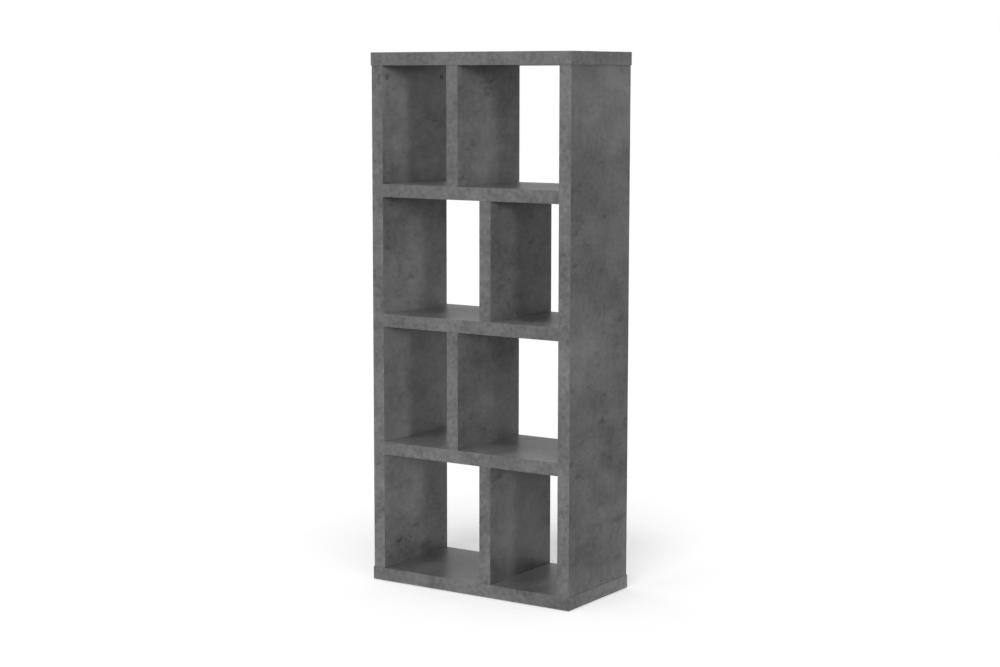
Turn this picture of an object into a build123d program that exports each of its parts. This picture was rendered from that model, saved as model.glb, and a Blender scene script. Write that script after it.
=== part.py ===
from build123d import *

import os
from dataclasses import dataclass, field

# Open cube storage unit: four tiers, each split by an upright set off to one side.
#
# Every board is hollow-core: two thin laminated skins glued over a frame of solid rails, with
# a paper honeycomb in each bay of the frame and a thin edging over the edges that show. The
# top and bottom boards are held to the sides by cams let into the sides' inner faces. The
# shelves are held to the sides by cams let into their undersides. Fluted dowels line every
# joint up, and they alone hold the dividers. The unit has no back and stands on nail-on glides.
#
# Units are millimetres. +Z is up, the front faces -Y, and the origin is the middle of the
# footprint at floor level.

# Overall sizes
WIDTH = 700.0  # top and bottom boards, end to end
DEPTH = 340.0  # top and bottom boards, front to back
TIERS = 4
TIER_CLEAR = 352.0  # clear height of a tier
BOARD = 39.0  # thickness of every board
REVEAL = 2.0  # how far the top and bottom boards stand past the sides, all round
NARROW_SHARE = 0.4  # a narrow compartment's share of the clear width of its tier

# Hollow-core construction
SKIN = 3.0
BANDING = 1.0  # thickness of the edging
BANDING_RADIUS = 0.7
BANDING_GAP = 0.1  # between two bands that meet at a corner
STILE = 45.0  # width of the long rails at the front and the back
END_RAIL = 50.0
CROSS_RAIL = 60.0  # width of the rails that sit behind a joint
RAIL_GAP = 0.2  # between a stile and the rails that butt against it
CELL = 45.0  # honeycomb cell, across its flats
PAPER = 0.8  # honeycomb wall
CORE_GAP = 0.5  # between the honeycomb and the rails round it
SMALLEST_CELL = 200.0  # area below which a cell cut short at the rim is left out

# Cam fastener
CAM_FROM_END = 34.0  # cam's centre from the end of its board
CAM_FROM_FRONT = 24.0  # and from the front or back edge of that board
BOLT_DEPTH = 9.5  # bolt's axis below the face that the cam is let into
CAM_RADIUS = 7.5
CAM_HEIGHT = 12.5
CAM_SINK = 0.3  # cam's face below the skin's surface
CAM_RIM = 0.4
CAM_WALL = 2.0
HEAD_SLOT = 7.6  # height of the cam's hollow, which the bolt's head sits in
NECK_SLOT = 4.8  # width of the cam's slot for the bolt's neck
DRIVE_LENGTH = 8.0  # cross recess
DRIVE_WIDTH = 1.8
DRIVE_DEPTH = 2.6

# Cam bolt, measured from the joint
THREAD_RADIUS = 3.0
THREAD_ROOT = 2.4
THREAD_LENGTH = 11.0
THREAD_RIDGES = 6
SHANK_RADIUS = 3.5
NECK_RADIUS = 2.0
NECK_START = 25.3
NECK_TAPER = 1.0
HEAD_RADIUS = 3.4
HEAD_START = 31.8
HEAD_END = 36.0

# Cam cap
CAP_RADIUS = 8.5
CAP_HEIGHT = 1.2
TAB_LENGTH = 7.4
TAB_WIDTH = 1.4
TAB_DEPTH = 2.3

# Dowels
DOWEL_RADIUS = 4.0
DOWEL_LENGTH = 30.0
DOWEL_CHAMFER = 1.0
FLUTES = 12
FLUTE_RADIUS = 0.5
FLUTE_LENGTH = DOWEL_LENGTH - 2 * DOWEL_CHAMFER
DOWEL_FROM_FRONT = 56.0  # dowel's axis from the front or back edge of a side or a shelf
DIVIDER_DOWEL_FROM_FRONT = 60.0

# Glides
GLIDE_HEIGHT = 3.0
GLIDE_RADIUS = 12.5
GLIDE_EDGE = 1.0
GLIDE_INSET = 40.0  # glide's centre from the bottom board's edges
NAIL_RADIUS = 1.1
NAIL_LENGTH = 16.0
NAIL_POINT = 1.8
NAIL_POINT_TAPER = 0.77  # how much narrower the tip is, all round
NAIL_HEAD_RADIUS = 3.0
NAIL_HEAD_HEIGHT = 1.0
NAIL_HEAD_SINK = 0.5  # nail's head above the floor

# Room round and behind what sits in a bore
BORE_ROOM = 0.05
BORE_END_ROOM = 0.5

# Worked out from the above
INNER_DEPTH = DEPTH - 2 * REVEAL
SIDE_LENGTH = TIERS * TIER_CLEAR + (TIERS - 1) * BOARD
SIDE_X = WIDTH / 2 - REVEAL - BOARD / 2
INNER_X = SIDE_X - BOARD / 2  # a side's inner face
DIVIDER_X = INNER_X - NARROW_SHARE * (2 * INNER_X - BOARD) - BOARD / 2
FRAME = BOARD - 2 * SKIN
CAM_Y = INNER_DEPTH / 2 - CAM_FROM_FRONT
DOWEL_Y = INNER_DEPTH / 2 - DOWEL_FROM_FRONT
DIVIDER_DOWEL_Y = INNER_DEPTH / 2 - DIVIDER_DOWEL_FROM_FRONT
BOTTOM_FACE = GLIDE_HEIGHT + BOARD  # the bottom board's upper face
TOP_FACE = BOTTOM_FACE + SIDE_LENGTH  # the top board's lower face
MIDDLE = (BOTTOM_FACE + TOP_FACE) / 2

SHELVES = ("shelf_lower", "shelf_middle", "shelf_upper")
SIDES = {"side_left": -1, "side_right": 1}
FRONT_AND_BACK = (-1, 1)
UP = Vector(0, 0, 1)
FROM_BASE = (Align.CENTER, Align.CENTER, Align.MIN)
FROM_TOP = (Align.CENTER, Align.CENTER, Align.MAX)


@dataclass
class Bore:
    """A drilled hole, which starts at the plane's origin and runs along the plane's +Z."""

    plane: Plane
    radius: float
    depth: float


@dataclass
class Board:
    """One hollow-core board. Its plane is its middle, with the board's length along local X."""

    name: str
    plane: Plane
    length: float
    depth: float
    banded_ends: bool = False
    cross_rails: tuple[float, ...] = ()  # middles of its cross rails, along local X
    bores: list[Bore] = field(default_factory=list)

    @property
    def core_length(self):
        """Length without the edging on the ends."""
        return self.length - (2 * BANDING if self.banded_ends else 0)

    @property
    def core_depth(self):
        """Depth without the edging on the front and the back."""
        return self.depth - 2 * BANDING

    def rails(self):
        """Where each rail between the stiles starts and ends, along local X."""
        half = self.core_length / 2
        crossing = [(at - CROSS_RAIL / 2, at + CROSS_RAIL / 2) for at in self.cross_rails]
        return [(-half, END_RAIL - half), *crossing, (half - END_RAIL, half)]


def shelf_height(number):
    """Height of a shelf's middle. Shelf 1 is the lowest."""
    return BOTTOM_FACE + number * (TIER_CLEAR + BOARD) - BOARD / 2


def tier_floor(tier):
    """Height that a tier stands on. Tier 1 is at the top."""
    return BOTTOM_FACE + (TIERS - tier) * (TIER_CLEAR + BOARD)


def divider_x(tier):
    """A tier's divider is left of the middle in tiers 1 and 3, and right of it in 2 and 4."""
    return -DIVIDER_X if tier % 2 else DIVIDER_X


def level_plane(height):
    """The middle of a board that lies flat."""
    return Plane.XY.offset(height)


def standing_plane(x, height):
    """The middle of a board that stands on end, facing -X, with its length upwards."""
    return Plane(origin=(x, 0, height), x_dir=(0, 0, 1), z_dir=(-1, 0, 0))


def lay_out_boards():
    """Every board of the unit, by name."""
    boards = [
        Board("top", level_plane(TOP_FACE + BOARD / 2), WIDTH, DEPTH, True, (divider_x(1),)),
        Board("bottom", level_plane(BOTTOM_FACE - BOARD / 2), WIDTH, DEPTH, True, (divider_x(TIERS),)),
    ]
    shelf_heights = [shelf_height(number) for number in range(1, TIERS)]
    behind_shelves = tuple(height - MIDDLE for height in shelf_heights)
    for name, sign in SIDES.items():
        plane = standing_plane(sign * SIDE_X, MIDDLE)
        boards.append(Board(name, plane, SIDE_LENGTH, INNER_DEPTH, cross_rails=behind_shelves))
    at_dividers = (-DIVIDER_X, DIVIDER_X)
    for name, height in zip(SHELVES, shelf_heights):
        plane = level_plane(height)
        boards.append(Board(name, plane, 2 * INNER_X, INNER_DEPTH, cross_rails=at_dividers))
    for tier in range(1, TIERS + 1):
        plane = standing_plane(divider_x(tier), tier_floor(tier) + TIER_CLEAR / 2)
        boards.append(Board(f"divider_{tier}", plane, TIER_CLEAR, INNER_DEPTH))
    return {board.name: board for board in boards}


def add_cam_joint(held, holder, start, inward, cam_side):
    """Drills two boards for a cam and its bolt, and returns the planes of the bolt and the cam.

    The cam is let into the held board and its bolt is screwed into the holder. start is where
    the bolt's axis crosses the joint, inward runs from there into the held board, and cam_side
    points from the bolt's axis to the face that the cam is let into.
    """
    bolt = Plane(origin=start, z_dir=inward)
    face = start + inward * CAM_FROM_END + cam_side * BOLT_DEPTH
    cam = Plane(origin=face, x_dir=-inward, z_dir=cam_side)
    pocket = Plane(origin=face, z_dir=-cam_side)
    pocket_depth = CAM_SINK + CAM_HEIGHT + BORE_END_ROOM
    held.bores.append(Bore(pocket, CAM_RADIUS + BORE_ROOM, pocket_depth))
    held.bores.append(Bore(bolt, SHANK_RADIUS + BORE_ROOM, CAM_FROM_END))
    pilot = Plane(origin=start, z_dir=-inward)
    holder.bores.append(Bore(pilot, THREAD_RADIUS + BORE_ROOM, THREAD_LENGTH + BORE_END_ROOM))
    return bolt, cam


def add_dowel(held, holder, start, inward):
    """Drills two boards for a dowel, half in each, and returns the dowel's plane."""
    radius = DOWEL_RADIUS + BORE_ROOM
    depth = DOWEL_LENGTH / 2 + BORE_END_ROOM
    dowel = Plane(origin=start, z_dir=inward)
    held.bores.append(Bore(dowel, radius, depth))
    holder.bores.append(Bore(Plane(origin=start, z_dir=-inward), radius, depth))
    return dowel


def join_sides(boards):
    """Joins each side to the top and bottom boards. Returns the cam joints and the dowels."""
    cams, dowels = [], []
    for side, sign in SIDES.items():
        for end, height, inward in (("top", TOP_FACE, -UP), ("bottom", BOTTOM_FACE, UP)):
            for front in FRONT_AND_BACK:
                bolt = Vector(sign * (INNER_X + BOLT_DEPTH), front * CAM_Y, height)
                cam_side = Vector(-sign, 0, 0)
                cams.append(add_cam_joint(boards[side], boards[end], bolt, inward, cam_side))
                dowel = Vector(sign * SIDE_X, front * DOWEL_Y, height)
                dowels.append(add_dowel(boards[side], boards[end], dowel, inward))
    return cams, dowels


def join_shelves(boards):
    """Joins each shelf to the sides. Returns the cam joints and the dowels."""
    cams, dowels = [], []
    for number, shelf in enumerate(SHELVES, start=1):
        middle = shelf_height(number)
        for side, sign in SIDES.items():
            inward = Vector(-sign, 0, 0)
            for front in FRONT_AND_BACK:
                bolt = Vector(sign * INNER_X, front * CAM_Y, middle - BOARD / 2 + BOLT_DEPTH)
                cams.append(add_cam_joint(boards[shelf], boards[side], bolt, inward, -UP))
                dowel = Vector(sign * INNER_X, front * DOWEL_Y, middle)
                dowels.append(add_dowel(boards[shelf], boards[side], dowel, inward))
    return cams, dowels


def join_dividers(boards):
    """Joins each divider to the boards above and below it. Returns the dowels."""
    layers = ("bottom", *SHELVES, "top")
    dowels = []
    for tier in range(1, TIERS + 1):
        divider = boards[f"divider_{tier}"]
        below, above = boards[layers[TIERS - tier]], boards[layers[TIERS - tier + 1]]
        floor = tier_floor(tier)
        for front in FRONT_AND_BACK:
            foot = Vector(divider_x(tier), front * DIVIDER_DOWEL_Y, floor)
            dowels.append(add_dowel(divider, below, foot, UP))
            dowels.append(add_dowel(divider, above, foot + UP * TIER_CLEAR, -UP))
    return dowels


def place_glides(bottom):
    """Drills the bottom board for six glides' nails, and returns the glides' planes."""
    x, y = WIDTH / 2 - GLIDE_INSET, DEPTH / 2 - GLIDE_INSET
    glides = [Plane(origin=(i * x, j * y, 0)) for j in FRONT_AND_BACK for i in (-1, 0, 1)]
    depth = NAIL_HEAD_SINK + NAIL_LENGTH - GLIDE_HEIGHT + BORE_END_ROOM
    for glide in glides:
        bottom.bores.append(Bore(glide.offset(GLIDE_HEIGHT), NAIL_RADIUS + BORE_ROOM, depth))
    return glides


def drill(bores):
    """Cuts the bores out of the part that is being made."""
    for bore in bores:
        with Locations(bore.plane.location):
            Cylinder(bore.radius, bore.depth, align=FROM_BASE, mode=Mode.SUBTRACT)


def make_skins(board, name, lower_faces):
    """The laminated sheets that start at these heights above the board's plane."""
    with BuildPart() as skins:
        for height in lower_faces:
            with BuildSketch(board.plane.offset(height)):
                Rectangle(board.core_length, board.core_depth)
            extrude(amount=SKIN)
        drill(board.bores)
    skins.part.label = name
    export_step(skins.part, f"parts/{name}.step")


def make_frame(board):
    """The stiles and rails between the skins, each a solid of its own."""
    stile_y = (board.core_depth - STILE) / 2
    between = board.core_depth - 2 * STILE - 2 * RAIL_GAP
    with BuildPart() as frame:
        with BuildSketch(board.plane.offset(-FRAME / 2)):
            with Locations((0, -stile_y), (0, stile_y)):
                Rectangle(board.core_length, STILE)
            for start, end in board.rails():
                with Locations(((start + end) / 2, 0)):
                    Rectangle(end - start, between)
        extrude(amount=FRAME)
        drill(board.bores)
    frame.part.label = f"{board.name}_frame"
    export_step(frame.part, f"parts/{board.name}_frame.step")


def honeycomb_sheet(length, depth):
    """A sheet of hexagonal cells inside a rim, round the origin."""
    step = CELL + PAPER
    with BuildSketch() as cells:
        with HexLocations(step / 2, int(length / step) + 3, int(depth / step) + 3):
            RegularPolygon(CELL / 2, 6, major_radius=False)
        Rectangle(length - 2 * PAPER, depth - 2 * PAPER, mode=Mode.INTERSECT)
    with BuildSketch() as sheet:
        Rectangle(length, depth)
        add(cells.faces().filter_by(lambda cell: cell.area > SMALLEST_CELL), mode=Mode.SUBTRACT)
    return sheet.sketch


def make_honeycomb(board):
    """The paper honeycomb in each bay between the rails."""
    rails = board.rails()
    depth = board.core_depth - 2 * (STILE + CORE_GAP)
    bays = [(start + CORE_GAP, end - CORE_GAP) for (_, start), (end, _) in zip(rails, rails[1:])]
    sheets = [honeycomb_sheet(end - start, depth) for start, end in bays]
    with BuildPart() as honeycomb:
        with BuildSketch(board.plane.offset(-FRAME / 2)):
            for (start, end), sheet in zip(bays, sheets):
                with Locations(((start + end) / 2, 0)):
                    add(sheet)
        extrude(amount=FRAME)
    honeycomb.part.label = f"{board.name}_honeycomb"
    export_step(honeycomb.part, f"parts/{board.name}_honeycomb.step")


def make_edging(board):
    """The bands over the board's front and back edges, and over its ends if those show."""
    long_y = (board.depth - BANDING) / 2
    end_x = (board.length - BANDING) / 2
    with BuildPart() as edging:
        with BuildSketch(board.plane.offset(-BOARD / 2)):
            with Locations((0, -long_y), (0, long_y)):
                Rectangle(board.length, BANDING)
            if board.banded_ends:
                with Locations((-end_x, 0), (end_x, 0)):
                    Rectangle(BANDING, board.core_depth - 2 * BANDING_GAP)
        extrude(amount=BOARD)
        by_depth = edging.edges().group_by(Axis.Y)
        outer = by_depth[0] + by_depth[-1]
        if board.banded_ends:
            by_width = edging.edges().filter_by(Axis.Y).group_by(Axis.X)
            outer += by_width[0] + by_width[-1]
        else:
            outer = outer.filter_by(lambda edge: edge.length > board.length / 2)
        fillet(outer, BANDING_RADIUS)
    edging.part.label = f"{board.name}_edging"
    export_step(edging.part, f"parts/{board.name}_edging.step")


def make_board(board):
    """Every node of one board."""
    low, high = -BOARD / 2, BOARD / 2 - SKIN
    if board.name.startswith("divider"):
        make_skins(board, f"{board.name}_skins", (low, high))
    elif board.name in SIDES:
        outer, inner = (high, low) if board.name == "side_left" else (low, high)
        make_skins(board, f"{board.name}_outer_skin", (outer,))
        make_skins(board, f"{board.name}_inner_skin", (inner,))
    else:
        make_skins(board, f"{board.name}_upper_skin", (high,))
        make_skins(board, f"{board.name}_lower_skin", (low,))
    make_frame(board)
    make_honeycomb(board)
    make_edging(board)


def model_cam():
    """A cam: local -Z is into its board, and local +X is towards its bolt."""
    with BuildPart() as cam:
        with Locations((0, 0, -CAM_SINK)):
            Cylinder(CAM_RADIUS, CAM_HEIGHT, align=FROM_TOP)
        fillet(cam.edges().group_by(Axis.Z)[-1], CAM_RIM)
        with Locations((0, 0, -BOLT_DEPTH)):
            Cylinder(CAM_RADIUS - CAM_WALL, HEAD_SLOT, mode=Mode.SUBTRACT)
            slot_align = (Align.MIN, Align.CENTER, Align.CENTER)
            Box(CAM_RADIUS, NECK_SLOT, NECK_SLOT, align=slot_align, mode=Mode.SUBTRACT)
        with BuildSketch(Plane.XY.offset(-CAM_SINK)):
            Rectangle(DRIVE_LENGTH, DRIVE_WIDTH)
            Rectangle(DRIVE_WIDTH, DRIVE_LENGTH)
        extrude(amount=-DRIVE_DEPTH, mode=Mode.SUBTRACT)
    return cam.part


def model_cam_bolt():
    """A cam bolt: its thread is below the joint, at z 0, and its head is above it."""
    ridge = THREAD_LENGTH / THREAD_RIDGES
    outline = [(0, -THREAD_LENGTH), (THREAD_ROOT, -THREAD_LENGTH)]
    for number in range(THREAD_RIDGES):
        root = number * ridge - THREAD_LENGTH
        outline.append((THREAD_RADIUS, root + ridge / 2))
        outline.append((THREAD_ROOT, root + ridge))
    outline += [
        (SHANK_RADIUS, 0),
        (SHANK_RADIUS, NECK_START - NECK_TAPER),
        (NECK_RADIUS, NECK_START),
        (NECK_RADIUS, HEAD_START),
        (HEAD_RADIUS, HEAD_START + NECK_TAPER),
        (HEAD_RADIUS, HEAD_END - NECK_TAPER),
        (NECK_RADIUS, HEAD_END),
        (0, HEAD_END),
    ]
    with BuildPart() as bolt:
        with BuildSketch(Plane.XZ):
            with BuildLine():
                Polyline(*outline, close=True)
            make_face()
        revolve(axis=Axis.Z)
    return bolt.part


def model_cam_cap():
    """A cap over a cam: a thin disc, on a cross that pushes into the cam's recess."""
    with BuildPart() as cap:
        Cylinder(CAP_RADIUS, CAP_HEIGHT, align=FROM_BASE)
        chamfer(cap.edges().group_by(Axis.Z)[-1], CAP_HEIGHT / 2, CAP_HEIGHT)
        with BuildSketch():
            Rectangle(TAB_LENGTH, TAB_WIDTH)
            Rectangle(TAB_WIDTH, TAB_LENGTH)
        extrude(amount=-TAB_DEPTH)
    return cap.part


def model_dowel():
    """A fluted dowel, with the joint at its middle."""
    with BuildPart() as dowel:
        Cylinder(DOWEL_RADIUS, DOWEL_LENGTH)
        chamfer(dowel.edges().filter_by(GeomType.CIRCLE), DOWEL_CHAMFER)
        with PolarLocations(DOWEL_RADIUS, FLUTES):
            Cylinder(FLUTE_RADIUS, FLUTE_LENGTH, mode=Mode.SUBTRACT)
    return dowel.part


def model_glide():
    """A nail-on plastic glide that stands on z 0, with a recess for its nail's head."""
    recess = NAIL_HEAD_SINK + NAIL_HEAD_HEIGHT
    with BuildPart() as glide:
        Cylinder(GLIDE_RADIUS, GLIDE_HEIGHT, align=FROM_BASE)
        fillet(glide.edges().group_by(Axis.Z)[0], GLIDE_EDGE)
        Cylinder(NAIL_RADIUS + BORE_ROOM, GLIDE_HEIGHT, align=FROM_BASE, mode=Mode.SUBTRACT)
        Cylinder(NAIL_HEAD_RADIUS + BORE_ROOM, recess, align=FROM_BASE, mode=Mode.SUBTRACT)
    return glide.part


def model_nail():
    """The nail through a glide, with its head just above the floor."""
    with BuildPart() as nail:
        with Locations((0, 0, NAIL_HEAD_SINK)):
            Cylinder(NAIL_RADIUS, NAIL_LENGTH, align=FROM_BASE)
            chamfer(nail.edges().group_by(Axis.Z)[-1], NAIL_POINT, NAIL_POINT_TAPER)
            Cylinder(NAIL_HEAD_RADIUS, NAIL_HEAD_HEIGHT, align=FROM_BASE)
    return nail.part


def make_copies(piece, name, planes):
    """One node with a copy of the piece at each plane."""
    with BuildPart() as copies:
        with Locations(*[plane.location for plane in planes]):
            add(piece)
    copies.part.label = name
    export_step(copies.part, f"parts/{name}.step")


def main():
    """Lays the boards out, joins them, and writes every node."""
    os.makedirs("parts", exist_ok=True)
    boards = lay_out_boards()
    side_joints, side_dowels = join_sides(boards)
    shelf_joints, shelf_dowels = join_shelves(boards)
    divider_dowels = join_dividers(boards)
    glides = place_glides(boards["bottom"])
    for board in boards.values():
        make_board(board)

    cam, cam_bolt, cam_cap = model_cam(), model_cam_bolt(), model_cam_cap()
    for name, joints in (("side", side_joints), ("shelf", shelf_joints)):
        bolts, cams = zip(*joints)
        make_copies(cam_bolt, f"{name}_cam_bolts", bolts)
        make_copies(cam, f"{name}_cams", cams)
        make_copies(cam_cap, f"{name}_cam_caps", cams)
    make_copies(model_dowel(), "dowels", side_dowels + shelf_dowels + divider_dowels)
    make_copies(model_glide(), "floor_glides", glides)
    make_copies(model_nail(), "glide_nails", glides)


main()
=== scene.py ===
"""Looks of the open cube storage unit.

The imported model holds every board, rail, fastener and glide at its real place. This script
dresses them: each board gets its own stretch of the concrete print, what is inside the boards
gets sawn wood, paper, zinc and beech, and the moulded caps and glides are modelled in full.
"""

from __future__ import annotations

import logging
import math
from collections.abc import Callable, Iterable
from dataclasses import dataclass, field, replace
from enum import Enum
from functools import partial
from typing import Any, Union

import bmesh
import bpy
from mathutils import Matrix, Vector


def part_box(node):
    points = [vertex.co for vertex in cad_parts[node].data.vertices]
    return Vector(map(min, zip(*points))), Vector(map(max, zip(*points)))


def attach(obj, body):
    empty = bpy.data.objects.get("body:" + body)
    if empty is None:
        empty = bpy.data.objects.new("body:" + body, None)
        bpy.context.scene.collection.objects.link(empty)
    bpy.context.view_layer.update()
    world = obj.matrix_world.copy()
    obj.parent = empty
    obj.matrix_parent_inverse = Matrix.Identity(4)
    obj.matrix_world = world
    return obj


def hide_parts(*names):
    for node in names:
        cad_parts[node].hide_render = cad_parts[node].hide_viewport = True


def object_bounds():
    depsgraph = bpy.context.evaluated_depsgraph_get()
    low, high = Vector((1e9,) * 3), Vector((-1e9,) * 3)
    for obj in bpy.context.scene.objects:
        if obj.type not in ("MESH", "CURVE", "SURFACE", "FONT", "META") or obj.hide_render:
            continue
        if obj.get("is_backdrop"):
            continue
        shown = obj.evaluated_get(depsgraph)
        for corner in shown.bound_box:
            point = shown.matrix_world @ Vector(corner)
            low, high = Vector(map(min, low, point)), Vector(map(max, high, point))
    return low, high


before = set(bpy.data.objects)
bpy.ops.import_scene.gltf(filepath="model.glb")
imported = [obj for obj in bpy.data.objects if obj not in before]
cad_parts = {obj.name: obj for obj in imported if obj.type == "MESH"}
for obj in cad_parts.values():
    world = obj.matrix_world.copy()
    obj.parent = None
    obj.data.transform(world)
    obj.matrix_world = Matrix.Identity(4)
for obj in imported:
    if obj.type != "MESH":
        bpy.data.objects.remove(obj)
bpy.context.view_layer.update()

LOG = logging.getLogger("cube_storage_unit")
MM = 0.001
MERGE_DISTANCE = 0.001 * MM
TOLERANCE = 0.01 * MM
STRAIGHT = 0.99  # least share of a normal along an axis for it to count as along it
SMOOTH_ANGLE = math.radians(30.0)
TIERS = 4
SHELVES = ("shelf_lower", "shelf_middle", "shelf_upper")
SIDES = ("side_left", "side_right")

Colour = tuple[float, float, float]


class Along(Enum):
    """A direction that a pattern or a grain follows."""

    ACROSS = (1.0, 0.0, 0.0)
    BACKWARDS = (0.0, 1.0, 0.0)
    UPWARDS = (0.0, 0.0, 1.0)


# ---------------------------------------------------------------------------
# Shader graphs
# ---------------------------------------------------------------------------


@dataclass(frozen=True)
class Signal:
    """An output socket of a shader graph. Arithmetic on it adds Math nodes."""

    graph: Graph
    socket: bpy.types.NodeSocket

    def _maths(self, operation: str, first: Value, second: Value) -> Signal:
        """Adds one Math node for an operation on two values."""
        node = self.graph.node("ShaderNodeMath", {"operation": operation}, {0: first, 1: second})
        return Signal(self.graph, node.outputs[0])

    def __add__(self, other: Value) -> Signal:
        """Returns self + other."""
        return self._maths("ADD", self, other)

    def __radd__(self, other: Value) -> Signal:
        """Returns other + self."""
        return self._maths("ADD", other, self)

    def __sub__(self, other: Value) -> Signal:
        """Returns self - other."""
        return self._maths("SUBTRACT", self, other)

    def __rsub__(self, other: Value) -> Signal:
        """Returns other - self."""
        return self._maths("SUBTRACT", other, self)

    def __mul__(self, other: Value) -> Signal:
        """Returns self * other."""
        return self._maths("MULTIPLY", self, other)

    def __rmul__(self, other: Value) -> Signal:
        """Returns other * self."""
        return self._maths("MULTIPLY", other, self)

    def ramp(self, low: float, high: float) -> Signal:
        """Rises smoothly from 0 where the value is low to 1 where it is high.

        Args:
            low: The value that gives 0. It may be above high, for a ramp that falls.
            high: The value that gives 1.

        Returns:
            The ramped value, between 0 and 1.
        """
        settings = {"interpolation_type": "SMOOTHSTEP", "clamp": True}
        falls = low > high
        start, end = (high, low) if falls else (low, high)
        inputs = {"Value": self, "From Min": start, "From Max": end}
        node = self.graph.node("ShaderNodeMapRange", settings, inputs)
        rising = Signal(self.graph, node.outputs["Result"])
        return 1.0 - rising if falls else rising


Value = Union[Signal, float]
Input = Union[Signal, float, tuple[float, ...]]


class Graph:
    """The nodes that make a material's surface, or the world's light."""

    def __init__(self, owner: Union[bpy.types.Material, bpy.types.World]) -> None:
        """Empties the owner's graph.

        Args:
            owner: The material or the world that the graph belongs to.
        """
        owner.use_nodes = True
        self.owner = owner
        self._tree = owner.node_tree
        self._tree.nodes.clear()

    @classmethod
    def of_material(cls, name: str) -> Graph:
        """Starts a new material's graph.

        Args:
            name: The material's name.

        Returns:
            The empty graph.
        """
        return cls(bpy.data.materials.new(name))

    def node(
        self, kind: str, settings: dict[str, Any], inputs: dict[Union[str, int], Input]
    ) -> bpy.types.Node:
        """Adds a node, sets it up, and then fills or links its sockets.

        Args:
            kind: The node's type.
            settings: Properties of the node, set before its sockets are filled.
            inputs: A value or a link for each socket, by the socket's name or number.

        Returns:
            The new node.
        """
        node = self._tree.nodes.new(kind)
        for name, value in settings.items():
            setattr(node, name, value)
        for key, value in inputs.items():
            if isinstance(value, Signal):
                self._tree.links.new(value.socket, node.inputs[key])
            else:
                node.inputs[key].default_value = value
        return node

    def place(self, shift: Vector, stretch: Along, amount: float) -> Signal:
        """Coordinates on the object in metres, shifted, and stretched one way.

        Args:
            shift: Moves the pattern, so that two boards don't share one stretch of it.
            stretch: The way that the pattern is drawn out.
            amount: How many times longer the pattern is that way.

        Returns:
            The coordinates, for a texture's Vector socket.
        """
        source = self.node("ShaderNodeTexCoord", {}, {})
        squeeze = tuple(1.0 + axis * (1.0 / amount - 1.0) for axis in stretch.value)
        inputs = {
            "Vector": Signal(self, source.outputs["Object"]),
            "Location": tuple(shift),
            "Scale": squeeze,
        }
        mapping = self.node("ShaderNodeMapping", {}, inputs)
        return Signal(self, mapping.outputs["Vector"])

    def spread_from(self, middle: tuple[float, float], reach: tuple[float, float]) -> Signal:
        """How far a place on the level is from a middle, as a share of the reach each way.

        Args:
            middle: Where the distance is 0, in metres.
            reach: How far away the distance is 1, in metres, across and backwards.

        Returns:
            The distance.
        """
        source = self.node("ShaderNodeTexCoord", {}, {})
        shift = tuple(-place / size for place, size in zip(middle, reach))
        inputs = {
            "Vector": Signal(self, source.outputs["Object"]),
            "Location": (*shift, 0.0),
            "Scale": (1.0 / reach[0], 1.0 / reach[1], 0.0),
        }
        mapping = self.node("ShaderNodeMapping", {}, inputs)
        where = {0: Signal(self, mapping.outputs["Vector"])}
        length = self.node("ShaderNodeVectorMath", {"operation": "LENGTH"}, where)
        return Signal(self, length.outputs["Value"])

    def noise(self, where: Signal, size: float, detail: float, rough: float = 0.55) -> Signal:
        """Fractal noise from about -1 to 1.

        Args:
            where: The coordinates.
            size: Width of the largest features, in metres.
            detail: How many finer layers lie over them.
            rough: How strong each finer layer is beside the last.

        Returns:
            The noise, centred on 0.
        """
        inputs = {"Vector": where, "Scale": 1.0 / size, "Detail": detail, "Roughness": rough}
        node = self.node("ShaderNodeTexNoise", {"noise_dimensions": "3D"}, inputs)
        return Signal(self, node.outputs[0]) * 2.0 - 1.0

    def spots(self, where: Signal, spacing: float, share: float, radius: float) -> Signal:
        """Small round marks in some cells of a random scatter.

        Args:
            where: The coordinates.
            spacing: Mean distance between the cells' middles, in metres.
            share: Share of the cells that hold a mark.
            radius: Radius of a mark, as a share of the spacing.

        Returns:
            1 in a mark and 0 outside it.
        """
        inputs = {"Vector": where, "Scale": 1.0 / spacing}
        node = self.node("ShaderNodeTexVoronoi", {"feature": "F1"}, inputs)
        near = Signal(self, node.outputs["Distance"]).ramp(radius, radius * 0.45)
        split = self.node("ShaderNodeSeparateColor", {}, {0: Signal(self, node.outputs["Color"])})
        return near * Signal(self, split.outputs[0]).ramp(1.0 - share, 1.0 - share + 0.04)

    def shade(self, colour: Colour, brightness: Signal) -> Signal:
        """A colour whose brightness varies over the surface.

        Args:
            colour: The colour where the brightness is 1.
            brightness: What the colour is multiplied by, up to 2.

        Returns:
            The colour.
        """
        doubled = tuple(2.0 * channel for channel in colour)
        half = brightness * 0.5
        inputs = {0: half, 6: (0.0, 0.0, 0.0, 1.0), 7: (*doubled, 1.0)}
        node = self.node("ShaderNodeMix", {"data_type": "RGBA"}, inputs)
        return Signal(self, node.outputs[2])

    def blend(self, share: Signal, first: Input, second: Input) -> Signal:
        """Mixes two colours.

        Args:
            share: How much of the second colour there is, from 0 to 1.
            first: A colour.
            second: Another colour.

        Returns:
            The mixed colour.
        """
        node = self.node("ShaderNodeMix", {"data_type": "RGBA"}, {0: share, 6: first, 7: second})
        return Signal(self, node.outputs[2])

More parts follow.
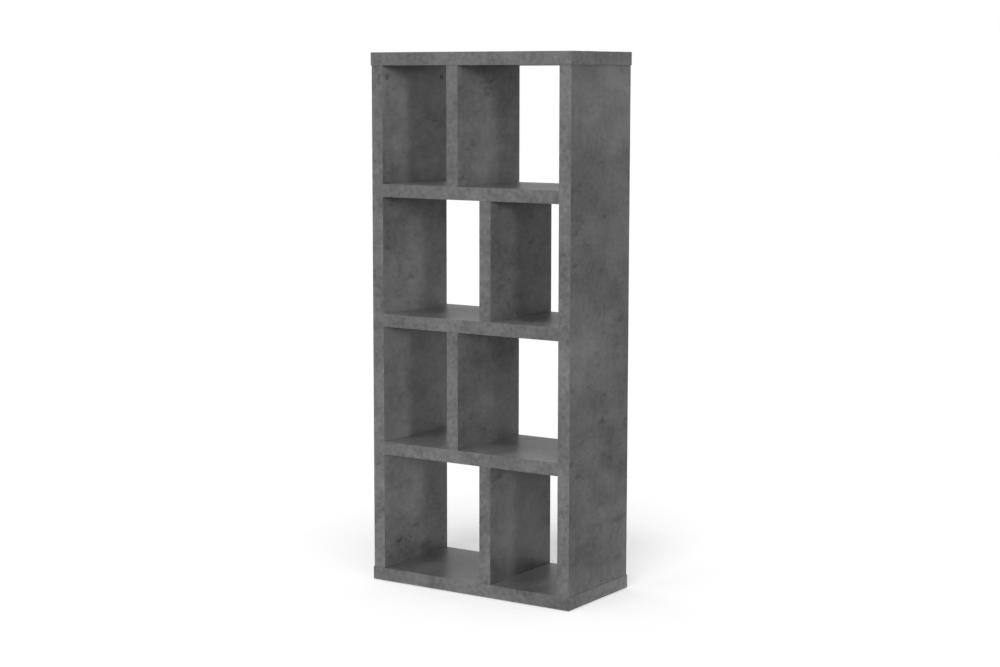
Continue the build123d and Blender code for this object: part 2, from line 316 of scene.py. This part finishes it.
    def finish(
        self,
        colour: Signal,
        roughness: Value,
        height: Signal,
        depth: float,
        others: dict[Union[str, int], Input] | None = None,
    ) -> bpy.types.Material:
        """Joins the surface's parts into a shader.

        Args:
            colour: The base colour.
            roughness: The roughness.
            height: The relief, about 0 to 1.
            depth: How deep the relief is, in metres.
            others: Values or links of the shader's other sockets.

        Returns:
            The finished material.
        """
        bump = self.node("ShaderNodeBump", {}, {"Height": height, "Distance": depth})
        inputs = {
            "Base Color": colour,
            "Roughness": roughness,
            "Normal": Signal(self, bump.outputs["Normal"]),
            **(others or {}),
        }
        shader = self.node("ShaderNodeBsdfPrincipled", {}, inputs)
        surface = {"Surface": Signal(self, shader.outputs["BSDF"])}
        self.node("ShaderNodeOutputMaterial", {}, surface)
        return self.owner


# ---------------------------------------------------------------------------
# Finishes
# ---------------------------------------------------------------------------


@dataclass(frozen=True)
class ConcretePrint:
    """A matt print of cast concrete: soft clouds, dark smears, small pits and a fine grain.

    The first fields say how strong each layer of the pattern is, and the sizes how wide its
    marks are, in metres.
    """

    tone: Colour = (0.150, 0.150, 0.150)
    cloud: float = 0.85
    mottle: float = 0.60
    speckle: float = 0.36
    grain: float = 0.20
    smear: float = 0.34
    pit: float = 0.40
    fleck: float = 0.18
    cloud_size: float = 0.30
    region_size: float = 0.13
    mottle_size: float = 0.070
    smear_size: float = 0.032
    speckle_size: float = 0.015
    fleck_size: float = 0.011
    pit_size: float = 0.0085
    grain_size: float = 0.0035
    stretch: float = 1.5
    smear_shift: float = 1.7  # how much farther the smears are shifted than the rest
    smear_stretch: float = 1.8  # how much more they are drawn out
    roughness: float = 0.40
    gloss: float = 0.50
    relief: float = 0.16 * MM

    def toned(self, amount: float) -> ConcretePrint:
        """The same print, lighter or darker.

        Args:
            amount: What the tone is multiplied by.

        Returns:
            The other print.
        """
        return replace(self, tone=tuple(amount * channel for channel in self.tone))

    def material(self, name: str, shift: Vector, flow: Along) -> bpy.types.Material:
        """Prints one board's own stretch of the pattern.

        Args:
            name: The material's name.
            shift: Where on the endless pattern this board's stretch lies.
            flow: The way that the pattern is drawn out.

        Returns:
            The material.
        """
        graph = Graph.of_material(name)
        where = graph.place(shift, flow, self.stretch)
        drawn = graph.place(shift * self.smear_shift, flow, self.stretch * self.smear_stretch)
        cloud = graph.noise(where, self.cloud_size, 2.0, 0.45)
        mottle = graph.noise(where, self.mottle_size, 3.0, 0.60)
        speckle = graph.noise(where, self.speckle_size, 3.0, 0.60)
        grain = graph.noise(where, self.grain_size, 4.0, 0.75)
        # Smears and pits keep to some regions of the board.
        region = graph.noise(where, self.region_size, 3.0, 0.60)
        smear = graph.noise(drawn, self.smear_size, 3.0, 0.60).ramp(0.10, 0.42)
        smear = smear * region.ramp(-0.18, 0.22)
        pits = graph.noise(where, self.pit_size, 1.0, 0.40).ramp(0.30, 0.50)
        pits = pits * region.ramp(-0.05, 0.30)
        fleck = graph.noise(where, self.fleck_size, 2.0, 0.50).ramp(-0.30, -0.52)
        brightness = (
            1.0
            + cloud * self.cloud
            + mottle * self.mottle
            + speckle * self.speckle
            + grain * self.grain
            + fleck * self.fleck
            - smear * self.smear
            - pits * self.pit
        )
        roughness = self.roughness + mottle * 0.10 + grain * 0.08 + pits * 0.15
        height = 0.5 + grain * 0.30 + speckle * 0.22 - pits * 0.50
        colour = graph.shade(self.tone, brightness)
        gloss = {"Specular IOR Level": self.gloss}
        return graph.finish(colour, roughness, height, self.relief, gloss)


@dataclass(frozen=True)
class SawnWood:
    """Planed softwood or beech: long grain lines, darker rings and open pores."""

    light: Colour
    dark: Colour
    ring: float
    stretch: float = 14.0
    roughness: float = 0.62
    gloss: float = 0.3
    relief: float = 0.15 * MM

    def material(self, name: str, shift: Vector, length: Along) -> bpy.types.Material:
        """Grain that runs along the piece.

        Args:
            name: The material's name.
            shift: Moves the pattern, so that pieces differ.
            length: The way that the grain runs.

        Returns:
            The material.
        """
        graph = Graph.of_material(name)
        where = graph.place(shift, length, self.stretch)
        bend = graph.noise(where, self.ring * 4.0, 2.0)
        rings = graph.noise(where, self.ring, 4.0, 0.6)
        pores = graph.noise(where, self.ring * 0.12, 3.0, 0.7)
        share = (0.5 + rings * 0.9 + bend * 0.35 + pores * 0.35).ramp(0.0, 1.0)
        light, dark = (*self.light, 1.0), (*self.dark, 1.0)
        colour = graph.blend(share, light, dark)
        roughness = self.roughness + pores * 0.10
        height = 0.5 + rings * 0.2 + pores * 0.4
        gloss = {"Specular IOR Level": self.gloss}
        return graph.finish(colour, roughness, height, self.relief, gloss)


@dataclass(frozen=True)
class KraftPaper:
    """Unbleached paper: short fibres and faint blotches."""

    tone: Colour = (0.42, 0.27, 0.14)
    roughness: float = 0.85
    gloss: float = 0.2
    relief: float = 0.10 * MM

    def material(self, name: str) -> bpy.types.Material:
        """Makes the paper.

        Args:
            name: The material's name.

        Returns:
            The material.
        """
        graph = Graph.of_material(name)
        where = graph.place(Vector((0.3, 0.7, 0.1)), Along.UPWARDS, 1.0)
        fibre = graph.noise(where, 0.0025, 4.0, 0.7)
        blotch = graph.noise(where, 0.030, 3.0)
        dark = graph.spots(where, 0.006, 0.35, 0.12)
        brightness = 1.0 + fibre * 0.22 + blotch * 0.14 - dark * 0.25
        colour = graph.shade(self.tone, brightness)
        roughness = self.roughness + fibre * 0.08
        height = 0.5 + fibre * 0.4
        gloss = {"Specular IOR Level": self.gloss}
        return graph.finish(colour, roughness, height, self.relief, gloss)


@dataclass(frozen=True)
class MouldedPlastic:
    """Injection-moulded plastic with a fine spark texture."""

    tone: Colour
    roughness: float
    relief: float = 0.06 * MM

    def material(self, name: str) -> bpy.types.Material:
        """Makes the plastic.

        Args:
            name: The material's name.

        Returns:
            The material.
        """
        graph = Graph.of_material(name)
        where = graph.place(Vector((0.11, 0.23, 0.37)), Along.UPWARDS, 1.0)
        spark = graph.noise(where, 0.0005, 2.0, 0.6)
        flow = graph.noise(where, 0.006, 3.0, 0.6)
        scuff = graph.noise(where, 0.0016, 4.0, 0.7).ramp(0.25, 0.6)
        brightness = 1.0 + flow * 0.14 + spark * 0.12 + scuff * 0.18
        colour = graph.shade(self.tone, brightness)
        roughness = self.roughness + spark * 0.10 + scuff * 0.12
        height = 0.5 + spark * 0.4 - scuff * 0.1
        return graph.finish(colour, roughness, height, self.relief)


@dataclass(frozen=True)
class ZincPlate:
    """Zinc, cast or plated: a dull metal with a faint crystal pattern and rubbed spots."""

    tone: Colour
    roughness: float
    relief: float = 0.05 * MM

    def material(self, name: str) -> bpy.types.Material:
        """Makes the metal.

        Args:
            name: The material's name.

        Returns:
            The material.
        """
        graph = Graph.of_material(name)
        where = graph.place(Vector((0.5, 0.2, 0.9)), Along.UPWARDS, 1.0)
        crystal = graph.noise(where, 0.003, 5.0, 0.7)
        rubbed = graph.noise(where, 0.008, 3.0, 0.6).ramp(0.1, 0.5)
        fine = graph.noise(where, 0.0006, 2.0)
        colour = graph.shade(self.tone, 1.0 + crystal * 0.16 - rubbed * 0.12)
        roughness = self.roughness + crystal * 0.15 + rubbed * 0.12 + fine * 0.06
        height = 0.5 + crystal * 0.2 + fine * 0.2
        return graph.finish(colour, roughness, height, self.relief, {"Metallic": 1.0})


SKIN_PRINT = ConcretePrint()
EDGE_PRINT = ConcretePrint(
    cloud=0.40,
    mottle=0.36,
    speckle=0.60,
    grain=0.26,
    smear=0.20,
    pit=0.40,
    fleck=0.26,
    stretch=1.0,
)
# Painted light and shade: each board's print, and the edging of the top and the bottom, is made
# lighter or darker in place of the light that falls on it.
BOARD_PAINTED_LIGHT_AND_SHADE = {
    "shelf_lower": 1.05,
    "shelf_middle": 1.08,
    "side_left": 1.13,
    "side_right": 0.88,
    "divider_1": 1.15,
    "divider_2": 0.95,
    "divider_3": 0.87,
    "divider_4": 0.87,
}
# Painted shade: the edging of the bottom, and a little of the top, is darker.
EDGE_PAINTED_SHADE = {"bottom": 0.90, "top": 0.99}
RAIL_WOOD = SawnWood(light=(0.62, 0.43, 0.24), dark=(0.40, 0.24, 0.11), ring=0.012)
BEECH = SawnWood(light=(0.60, 0.38, 0.21), dark=(0.44, 0.25, 0.12), ring=0.004)
CAP_PLASTIC = MouldedPlastic(tone=(0.118, 0.118, 0.118), roughness=0.42)
GLIDE_PLASTIC = MouldedPlastic(tone=(0.022, 0.022, 0.023), roughness=0.34)
CAST_ZINC = ZincPlate(tone=(0.56, 0.57, 0.59), roughness=0.38)
PLATED_STEEL = ZincPlate(tone=(0.66, 0.66, 0.63), roughness=0.28)


# ---------------------------------------------------------------------------
# Mesh work
# ---------------------------------------------------------------------------


def dress(node: str, material: bpy.types.Material) -> None:
    """Puts a material on a CAD node, and nothing else.

    Args:
        node: The node's name.
        material: The node's new material.
    """
    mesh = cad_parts[node].data
    mesh.materials.clear()
    mesh.materials.append(material)
    LOG.info("%s wears %s", node, material.name)


class Bench:
    """One new mesh being worked on in edit mode."""

    def __init__(self, name: str, start: Callable[[], Any]) -> None:
        """Adds a primitive with nothing else selected, and opens it for editing.

        Args:
            name: The piece's name.
            start: Adds the primitive.
        """
        bpy.ops.object.select_all(action="DESELECT")
        start()
        self.piece = bpy.context.active_object
        self.piece.name = name
        bpy.ops.object.transform_apply(location=True, rotation=True, scale=True)
        bpy.ops.object.mode_set(mode="EDIT")
        bpy.ops.mesh.select_mode(type="FACE")

    @classmethod
    def disc(cls, name: str, corners: int, radius: float, low: float, high: float) -> Bench:
        """Starts from a disc round the Z axis.

        Args:
            name: The piece's name.
            corners: How many corners the disc has.
            radius: The disc's radius.
            low: Height of its underside.
            high: Height of its upper side.

        Returns:
            The bench, with the disc on it.
        """
        size = {"vertices": corners, "radius": radius, "depth": high - low}
        middle = (0.0, 0.0, (low + high) / 2)
        return cls(name, lambda: bpy.ops.mesh.primitive_cylinder_add(location=middle, **size))

    @classmethod
    def block(cls, name: str, low: Vector, high: Vector) -> Bench:
        """Starts from a block.

        Args:
            name: The piece's name.
            low: The block's lowest corner.
            high: The block's highest corner.

        Returns:
            The bench, with the block on it.
        """
        size = {"size": 1.0, "scale": tuple(high - low), "location": tuple((low + high) / 2)}
        return cls(name, lambda: bpy.ops.mesh.primitive_cube_add(**size))

    def pick_faces(self, wanted: Callable[[bmesh.types.BMFace], bool]) -> None:
        """Selects only the faces that pass a test.

        Args:
            wanted: The test.
        """
        self._pick("faces", "FACE", wanted)

    def pick_edges(self, wanted: Callable[[bmesh.types.BMEdge], bool]) -> None:
        """Selects only the edges that pass a test.

        Args:
            wanted: The test.
        """
        self._pick("edges", "EDGE", wanted)

    def _pick(self, what: str, mode: str, wanted: Callable[[Any], bool]) -> None:
        """Switches the selection mode and selects what passes the test."""
        bpy.ops.mesh.select_mode(type=mode)
        bpy.ops.mesh.select_all(action="DESELECT")
        mesh = bmesh.from_edit_mesh(self.piece.data)
        for element in getattr(mesh, what):
            element.select_set(wanted(element))
        bmesh.update_edit_mesh(self.piece.data)

    def inset(self, width: float) -> None:
        """Insets the picked faces, and leaves the inner ones picked."""
        bpy.ops.mesh.inset(thickness=width, use_even_offset=True)

    def extrude(self, way: Vector) -> None:
        """Extrudes the picked faces together."""
        bpy.ops.mesh.extrude_region_move(TRANSFORM_OT_translate={"value": tuple(way)})

    def move(self, way: Vector) -> None:
        """Moves what is picked."""
        bpy.ops.transform.translate(value=tuple(way))

    def bevel(self, width: float, segments: int) -> None:
        """Rounds the picked edges."""
        bpy.ops.mesh.bevel(offset=width, segments=segments, affect="EDGES")

    def close(self) -> bpy.types.Object:
        """Leaves edit mode with clean normals.

        Returns:
            The finished piece.
        """
        bpy.ops.mesh.select_all(action="SELECT")
        bpy.ops.mesh.remove_doubles(threshold=MERGE_DISTANCE)
        bpy.ops.mesh.normals_make_consistent(inside=False)
        bpy.ops.object.mode_set(mode="OBJECT")
        bpy.ops.object.shade_smooth_by_angle(angle=SMOOTH_ANGLE)
        return self.piece


def faces_up(face: bmesh.types.BMFace) -> bool:
    """True for a face that points straight up."""
    return face.normal.z > STRAIGHT


def faces_down(face: bmesh.types.BMFace) -> bool:
    """True for a face that points straight down."""
    return face.normal.z < -STRAIGHT


def rim_at(height: float, radius: float) -> Callable[[bmesh.types.BMEdge], bool]:
    """A test for the edges of one ring.

    Args:
        height: The ring's height.
        radius: The ring's radius.

    Returns:
        The test, for Bench.pick_edges.
    """

    def on_ring(edge: bmesh.types.BMEdge) -> bool:
        """True if both ends of the edge are on the ring."""
        return all(
            abs(end.co.z - height) < TOLERANCE and abs(end.co.xy.length - radius) < TOLERANCE
            for end in edge.verts
        )

    return on_ring


def spread(model: bpy.types.Object, name: str, places: Iterable[Matrix]) -> bpy.types.Object:
    """Copies a model to each place, each copy with its own mesh, and joins the copies.

    Args:
        model: The piece to copy. It is removed.
        name: Name of the joined piece.
        places: Where each copy goes.

    Returns:
        The joined piece, at the origin, unturned.
    """
    copies = []
    for place in places:
        copy = bpy.data.objects.new(name, model.data.copy())
        copy.data.transform(place)
        bpy.context.scene.collection.objects.link(copy)
        copies.append(copy)
    bpy.data.objects.remove(model)
    bpy.ops.object.select_all(action="DESELECT")
    for copy in copies:
        copy.select_set(True)
    bpy.context.view_layer.objects.active = copies[0]
    bpy.ops.object.join()
    joined = bpy.context.active_object
    joined.name = name
    return joined


def settle(
    piece: bpy.types.Object, nodes: tuple[str, ...], material: bpy.types.Material
) -> None:
    """Gives a finished piece its material and its body, and hides the CAD nodes that it stands for.

    Args:
        piece: The piece.
        nodes: The CAD nodes that it replaces.
        material: The piece's material.
    """
    piece.data.materials.clear()
    piece.data.materials.append(material)
    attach(piece, "root")
    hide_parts(*nodes)
    LOG.info("%s stands for %s", piece.name, ", ".join(nodes))


# ---------------------------------------------------------------------------
# Sub-assemblies
# ---------------------------------------------------------------------------


@dataclass
class Board:
    """One hollow-core board: skins, edging, frame and honeycomb."""

    name: str
    length: Along
    skins: tuple[str, ...]
    number: int
    # The tones of the print and of the edging below are painted light and shade.
    tone: float = 1.0
    edge_painted_shade: float = 1.0
    pattern_step: Vector = field(default_factory=lambda: Vector((3.37, 5.11, 2.23)))
    edge_step: Vector = field(default_factory=lambda: Vector((0.9, 0.4, 0.7)))

    def build(self) -> None:
        """Dresses the board's nodes, each in its own stretch of pattern, toned as painted light and
        shade.
        """
        shift = self.pattern_step * (self.number + 1)
        # The skins' print is lightened or darkened here: painted light and shade on this board.
        skin_print_and_painted_light = SKIN_PRINT.toned(self.tone)
        skin = skin_print_and_painted_light.material(f"{self.name}_skin_print_and_painted_light", shift, Along.BACKWARDS)
        for face in self.skins:
            dress(f"{self.name}_{face}", skin)
        # The edging's print is darkened here: painted shade.
        edge_print_and_painted_shade = EDGE_PRINT.toned(self.edge_painted_shade)
        edge_shift = shift + self.edge_step
        edge = edge_print_and_painted_shade.material(f"{self.name}_edge_print_and_painted_shade", edge_shift, self.length)
        dress(f"{self.name}_edging", edge)
        rails = RAIL_WOOD.material(f"{self.name}_rail_wood", shift, self.length)
        dress(f"{self.name}_frame", rails)


@dataclass
class Carcass:
    """All eleven boards."""

    honeycomb: KraftPaper = KraftPaper()

    def boards(self) -> list[Board]:
        """Lists the boards, from the top down."""
        level = ("upper_skin", "lower_skin")
        standing = ("outer_skin", "inner_skin")
        rows = [(name, Along.ACROSS, level) for name in ("top", "bottom", *SHELVES)]
        rows += [(name, Along.UPWARDS, standing) for name in SIDES]
        rows += [(f"divider_{tier}", Along.UPWARDS, ("skins",)) for tier in range(1, TIERS + 1)]
        return [
            Board(name, length, skins, i, BOARD_PAINTED_LIGHT_AND_SHADE.get(name, 1.0), EDGE_PAINTED_SHADE.get(name, 1.0))
            for i, (name, length, skins) in enumerate(rows)
        ]

    def build(self) -> None:
        """Dresses every board, and fills them with one batch of paper honeycomb."""
        paper = self.honeycomb.material("honeycomb_paper")
        for board in self.boards():
            board.build()
            dress(f"{board.name}_honeycomb", paper)


@dataclass
class Fasteners:
    """Cams, their bolts and the dowels, all sealed inside the boards."""

    def build(self) -> None:
        """Dresses the fasteners."""
        zinc = CAST_ZINC.material("cast_zinc")
        steel = PLATED_STEEL.material("plated_steel")
        for group in ("side", "shelf"):
            dress(f"{group}_cams", zinc)
            dress(f"{group}_cam_bolts", steel)
        beech = BEECH.material("beech", Vector((1.0, 2.0, 3.0)), Along.UPWARDS)
        dress("dowels", beech)


@dataclass
class CamCaps:
    """The moulded caps over the cams: a rimmed disc on a cross that grips the cam's recess."""

    radius: float = 8.5 * MM
    height: float = 1.2 * MM
    edge: float = 0.72 * MM
    rim: float = 0.90 * MM
    rim_slope: float = 0.25 * MM
    dish: float = 0.30 * MM
    dish_width: float = 2.10 * MM
    boss_slope: float = 0.35 * MM
    boss: float = 0.18 * MM
    tab_half_width: float = 0.7 * MM
    tab_half_length: float = 3.7 * MM
    tab_depth: float = 2.3 * MM
    corners: int = 48

    def model(self) -> bpy.types.Object:
        """Models one cap, lying on z 0 with its cross below.

        Returns:
            The cap.
        """
        bench = Bench.disc("cam_cap", self.corners, self.radius, 0.0, self.height)
        bench.pick_edges(rim_at(self.height, self.radius))
        bench.bevel(self.edge, 4)
        bench.pick_faces(faces_up)
        bench.inset(self.rim)
        bench.inset(self.rim_slope)
        bench.move(Vector((0.0, 0.0, -self.dish)))
        bench.inset(self.dish_width)
        bench.inset(self.boss_slope)
        bench.move(Vector((0.0, 0.0, self.boss)))
        cap = bench.close()
        cross = self._cross()
        bpy.ops.object.select_all(action="DESELECT")
        cross.select_set(True)
        cap.select_set(True)
        bpy.context.view_layer.objects.active = cap
        bpy.ops.object.join()
        return cap

    def _cross(self) -> bpy.types.Object:
        """Models the cross: a stub whose four sides are drawn out into tabs."""
        half = Vector((self.tab_half_width, self.tab_half_width, 0.0))
        bench = Bench.block("cross", -half - Vector((0.0, 0.0, self.tab_depth)), half)
        for side in (Vector((1, 0, 0)), Vector((-1, 0, 0)), Vector((0, 1, 0)), Vector((0, -1, 0))):
            bench.pick_faces(partial(self._is_stub_side, side))
            bench.extrude(side * (self.tab_half_length - self.tab_half_width))
        return bench.close()

    def _is_stub_side(self, side: Vector, face: bmesh.types.BMFace) -> bool:
        """True for the face of the stub, and not of a tab, that looks to a side."""
        middle = face.calc_center_median()
        on_stub = middle.xy.length < self.tab_half_width + 0.01 * MM
        return face.normal.dot(side) > STRAIGHT and on_stub

    def side_places(self) -> list[Matrix]:
        """Where the eight caps in the sides go, turned to face the inside."""
        low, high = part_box("side_cam_caps")
        faces = {1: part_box("side_left_inner_skin")[1].x, -1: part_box("side_right_inner_skin")[0].x}
        return [
            Matrix.Translation((x, y, z)) @ Matrix.Rotation(way * math.pi / 2, 4, "Y")
            for way, x in faces.items()
            for y in (low.y + self.radius, high.y - self.radius)
            for z in (low.z + self.radius, high.z - self.radius)
        ]

    def shelf_places(self) -> list[Matrix]:
        """Where the twelve caps under the shelves go, turned to face down."""
        low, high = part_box("shelf_cam_caps")
        undersides = [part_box(f"{shelf}_lower_skin")[0].z for shelf in SHELVES]
        return [
            Matrix.Translation((x, y, z)) @ Matrix.Rotation(math.pi, 4, "X")
            for x in (low.x + self.radius, high.x - self.radius)
            for y in (low.y + self.radius, high.y - self.radius)
            for z in undersides
        ]

    def build(self) -> None:
        """Models and places all the caps."""
        plastic = CAP_PLASTIC.material("cap_plastic")
        groups = (("side", self.side_places()), ("shelf", self.shelf_places()))
        for name, places in groups:
            caps = spread(self.model(), f"{name}_caps", places)
            settle(caps, (f"{name}_cam_caps",), plastic)


@dataclass
class Glides:
    """The six nail-on glides under the bottom board, with their nails."""

    radius: float = 12.5 * MM
    height: float = 3.0 * MM
    edge: float = 1.0 * MM
    groove_radius: float = 9.6 * MM
    groove_width: float = 1.3 * MM
    groove_depth: float = 0.5 * MM
    recess_radius: float = 3.4 * MM
    recess_depth: float = 1.5 * MM
    bore_radius: float = 1.15 * MM
    head_radius: float = 3.0 * MM
    head_height: float = 1.0 * MM
    head_edge: float = 0.6 * MM
    head_clearance: float = 0.5 * MM
    shank_radius: float = 1.1 * MM
    shank_length: float = 12.0 * MM
    point_length: float = 3.0 * MM
    point_share: float = 0.12  # width of the tip beside the shank's
    corners: int = 48

    def places(self) -> list[Matrix]:
        """Where the glides stand: each corner, and the middle of the front and the back."""
        low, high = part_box("floor_glides")
        middle = (low.x + high.x) / 2
        return [
            Matrix.Translation((x, y, low.z))
            for x in (low.x + self.radius, middle, high.x - self.radius)
            for y in (low.y + self.radius, high.y - self.radius)
        ]

    def model_glide(self) -> bpy.types.Object:
        """Models one glide: a rounded disc with a ring groove and a stepped bore.

        Returns:
            The glide, standing on z 0.
        """
        bench = Bench.disc("glide", self.corners, self.radius, 0.0, self.height)
        bench.pick_edges(rim_at(0.0, self.radius))
        bench.bevel(self.edge, 5)
        bench.pick_faces(faces_down)
        bench.inset(self.radius - self.edge - self.groove_radius)
        bench.inset(self.groove_width)
        inner = self.groove_radius - self.groove_width
        bench.pick_faces(lambda face: self._in_ring(face, inner, self.groove_radius))
        bench.extrude(Vector((0.0, 0.0, self.groove_depth)))
        bench.pick_faces(lambda face: faces_down(face) and self._reach(face) < inner + TOLERANCE)
        bench.inset(inner - self.recess_radius)
        bench.extrude(Vector((0.0, 0.0, self.recess_depth)))
        bench.inset(self.recess_radius - self.bore_radius)
        bpy.ops.mesh.delete(type="FACE")
        bench.pick_faces(faces_up)
        bench.inset(self.radius - self.bore_radius)
        bpy.ops.mesh.delete(type="FACE")
        bench.pick_edges(lambda edge: edge.is_boundary)
        bpy.ops.mesh.bridge_edge_loops()
        return bench.close()

    def _reach(self, face: bmesh.types.BMFace) -> float:
        """How far out from the middle a face's corners go."""
        return max(corner.co.xy.length for corner in face.verts)

    def _in_ring(self, face: bmesh.types.BMFace, inner: float, outer: float) -> bool:
        """True for a face of the underside between two radii."""
        nearest = min(corner.co.xy.length for corner in face.verts)
        slack = 0.05 * MM
        spans = abs(nearest - inner) < slack and abs(self._reach(face) - outer) < slack
        return faces_down(face) and spans

    def model_nail(self) -> bpy.types.Object:
        """Models one nail: a domed head, a shank and a point.

        Returns:
            The nail, with its head just above z 0.
        """
        low, high = self.head_clearance, self.head_clearance + self.head_height
        bench = Bench.disc("glide_nail", self.corners // 2, self.head_radius, low, high)
        bench.pick_edges(rim_at(low, self.head_radius))
        bench.bevel(self.head_edge, 3)
        bench.pick_faces(faces_up)
        bench.inset(self.head_radius - self.shank_radius)
        bench.extrude(Vector((0.0, 0.0, self.shank_length)))
        bench.extrude(Vector((0.0, 0.0, self.point_length)))
        tip = (0.0, 0.0, high + self.shank_length + self.point_length)
        share = self.point_share
        bpy.ops.transform.resize(value=(share, share, 1.0), center_override=tip)
        return bench.close()

    def build(self) -> None:
        """Models and places the glides and their nails."""
        plastic = GLIDE_PLASTIC.material("glide_plastic")
        steel = PLATED_STEEL.material("nail_steel")
        glides = spread(self.model_glide(), "glides", self.places())
        settle(glides, ("floor_glides",), plastic)
        nails = spread(self.model_nail(), "nails", self.places())
        settle(nails, ("glide_nails",), steel)


# ---------------------------------------------------------------------------
# Studio
# ---------------------------------------------------------------------------


@dataclass(frozen=True)
class Softbox:
    """A distant soft light, the same all over the unit."""

    name: str
    turn: float  # degrees to the right of straight ahead of the unit
    height: float  # degrees above the floor
    strength: float
    spread: float  # how wide the light looks, in degrees

    def hang(self) -> None:
        """Puts the light in the scene."""
        data = bpy.data.lights.new(self.name, "SUN")
        data.energy = self.strength * math.pi
        data.angle = math.radians(self.spread)
        lamp = bpy.data.objects.new(self.name, data)
        turn, height = math.radians(self.turn), math.radians(self.height)
        towards = Vector(
            (
                math.sin(turn) * math.cos(height),
                -math.cos(turn) * math.cos(height),
                math.sin(height),
            )
        )
        lamp.rotation_euler = towards.to_track_quat("Z", "Y").to_euler()
        bpy.context.scene.collection.objects.link(lamp)


@dataclass(frozen=True)
class Viewpoint:
    """The camera."""

    place: tuple[float, float, float] = (3.3251, -5.0792, 1.5336)
    turn: float = 33.837  # degrees to the left of straight back
    tilt: float = -6.902
    lens: float = 73.36
    sensor: float = 36.0
    shift: tuple[float, float] = (0.0224, -0.010)
    farthest: float = 100.0

    def set_up(self) -> None:
        """Puts the camera in the scene."""
        data = bpy.data.cameras.new("camera")
        data.lens = self.lens
        data.sensor_width = self.sensor
        data.shift_x, data.shift_y = self.shift
        data.clip_end = self.farthest
        camera = bpy.data.objects.new("camera", data)
        camera.location = self.place
        camera.rotation_euler = (math.radians(90.0 + self.tilt), 0.0, math.radians(self.turn))
        bpy.context.scene.collection.objects.link(camera)
        bpy.context.scene.camera = camera


@dataclass
class Studio:
    """A pale floor, white surroundings, soft lights and the camera.

    The floor is partly see-through, so that little light comes up from it. It is more solid
    round the unit, where its shadow falls, and glows less in a patch behind the unit, which
    is a painted shadow.
    """

    surroundings: float = 0.06
    floor_tone: float = 0.90
    floor_roughness: float = 0.9
    floor_gloss: float = 0.1
    floor_relief: float = 0.05 * MM
    floor_glow: float = 0.24
    floor_cover: float = 0.30
    shadow_cover: float = 0.60
    shadow_middle: tuple[float, float] = (0.0, 0.32)
    shadow_reach: tuple[float, float] = (0.62, 0.52)
    # Middle and reach of the painted shadow: the patch behind the unit where the floor glows less.
    painted_shadow_middle: tuple[float, float] = (-0.42, 0.60)
    painted_shadow_reach: tuple[float, float] = (0.50, 0.58)
    patch_edge: tuple[float, float] = (1.5, 0.5)  # where a patch starts and is full, in reaches
    floor_half_width: float = 30.0
    lights: tuple[Softbox, ...] = (
        Softbox("right", turn=60.0, height=8.0, strength=0.250, spread=10.0),
        Softbox("front_right", turn=35.0, height=9.0, strength=0.138, spread=14.0),
        Softbox("front_high", turn=15.0, height=27.0, strength=0.320, spread=26.0),
        Softbox("front_left", turn=-20.0, height=15.0, strength=0.155, spread=30.0),
        Softbox("back_left", turn=-146.0, height=12.0, strength=0.116, spread=50.0),
        Softbox("back_right", turn=146.0, height=15.0, strength=0.040, spread=50.0),
        Softbox("left", turn=-104.0, height=10.0, strength=0.210, spread=40.0),
        Softbox("back", turn=178.0, height=8.0, strength=0.160, spread=12.0),
        Softbox("overhead", turn=0.0, height=86.0, strength=0.530, spread=60.0),
    )
    viewpoint: Viewpoint = Viewpoint()

    def build(self) -> None:
        """Sets the scene up round the unit."""
        bpy.context.scene.view_settings.view_transform = "Standard"
        self._lay_floor()
        self._light_surroundings()
        for light in self.lights:
            light.hang()
        self.viewpoint.set_up()

    def _lay_floor(self) -> None:
        """Lays the floor under the glides."""
        bpy.ops.object.select_all(action="DESELECT")
        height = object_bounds()[0].z
        bpy.ops.mesh.primitive_plane_add(size=2.0 * self.floor_half_width, location=(0, 0, height))
        floor = bpy.context.active_object
        floor.name = "floor"
        graph = Graph.of_material("pale_floor")
        where = graph.place(Vector((0.0, 0.0, 0.0)), Along.ACROSS, 1.0)
        dust = graph.noise(where, 0.02, 3.0)
        tone = (self.floor_tone, self.floor_tone, self.floor_tone)
        colour = graph.shade(tone, 1.0 + dust * 0.01)
        near = graph.spread_from(self.shadow_middle, self.shadow_reach).ramp(*self.patch_edge)
        # Painted shadow: the patch behind the unit where the floor's glow is taken away.
        painted_shadow = graph.spread_from(self.painted_shadow_middle, self.painted_shadow_reach).ramp(*self.patch_edge)
        others = {
            "Specular IOR Level": self.floor_gloss,
            # The glow is darkened in the patch behind the unit: a painted shadow on the floor.
            "Emission Color": graph.blend(painted_shadow, (1.0, 1.0, 1.0, 1.0), (0.0, 0.0, 0.0, 1.0)),
            "Emission Strength": self.floor_glow,
            "Alpha": self.floor_cover + near * self.shadow_cover,
        }
        pale = graph.finish(colour, self.floor_roughness, dust, self.floor_relief, others)
        floor.data.materials.append(pale)
        floor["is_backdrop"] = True

    def _light_surroundings(self) -> None:
        """White all round for the camera, and dimmer as a light."""
        world = bpy.data.worlds.new("surroundings")
        bpy.context.scene.world = world
        graph = Graph(world)
        shades = []
        for strength in (self.surroundings, 1.0):
            inputs = {"Color": (1.0, 1.0, 1.0, 1.0), "Strength": strength}
            background = graph.node("ShaderNodeBackground", {}, inputs)
            shades.append(Signal(graph, background.outputs["Background"]))
        ray = graph.node("ShaderNodeLightPath", {}, {})
        seen = Signal(graph, ray.outputs["Is Camera Ray"])
        mix = graph.node("ShaderNodeMixShader", {}, {0: seen, 1: shades[0], 2: shades[1]})
        surface = {"Surface": Signal(graph, mix.outputs["Shader"])}
        graph.node("ShaderNodeOutputWorld", {}, surface)


def main() -> None:
    """Builds the unit's looks, sub-assembly by sub-assembly, and then the studio."""
    logging.basicConfig(level=logging.INFO, format="%(name)s: %(message)s")
    for assembly in (Carcass(), Fasteners(), CamCaps(), Glides(), Studio()):
        LOG.info("building %s", type(assembly).__name__)
        assembly.build()


if __name__ == "__main__":
    main()
